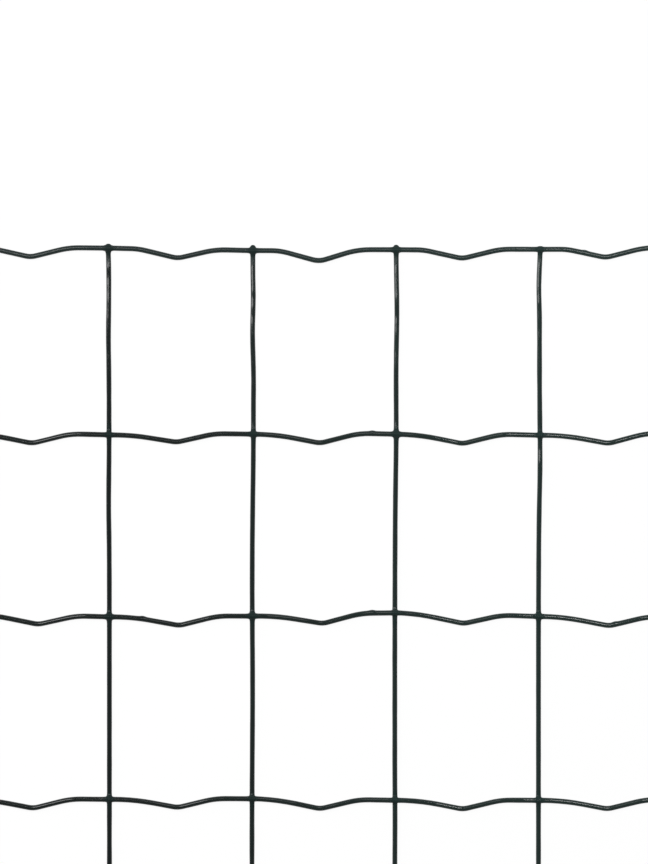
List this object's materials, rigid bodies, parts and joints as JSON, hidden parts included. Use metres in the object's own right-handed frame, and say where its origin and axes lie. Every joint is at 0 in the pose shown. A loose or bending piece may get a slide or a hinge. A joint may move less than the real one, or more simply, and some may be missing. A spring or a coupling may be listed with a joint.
{
  "type": "sheet of welded wire fence mesh",
  "caption": "Flat sheet of coated welded wire fence mesh: straight uprights under crimped rails, upright rectangular cells.",
  "frame": {"origin": "middle of the sheet's underside, on the floor that the uprights lie on", "axes": "+X along the fence, +Y up the fence, +Z out of the sheet's front, from the uprights to the rails"},
  "size_m": [2, 1.0086, 0.0043],
  "materials": {
    "coated_wire": "glossy dark green plastic coat over galvanised steel wire, with thin webs of coat at the welds"
  },
  "bodies": {
    "root": {"mesh_sheet": "coated_wire"}
  },
  "joints": []
}
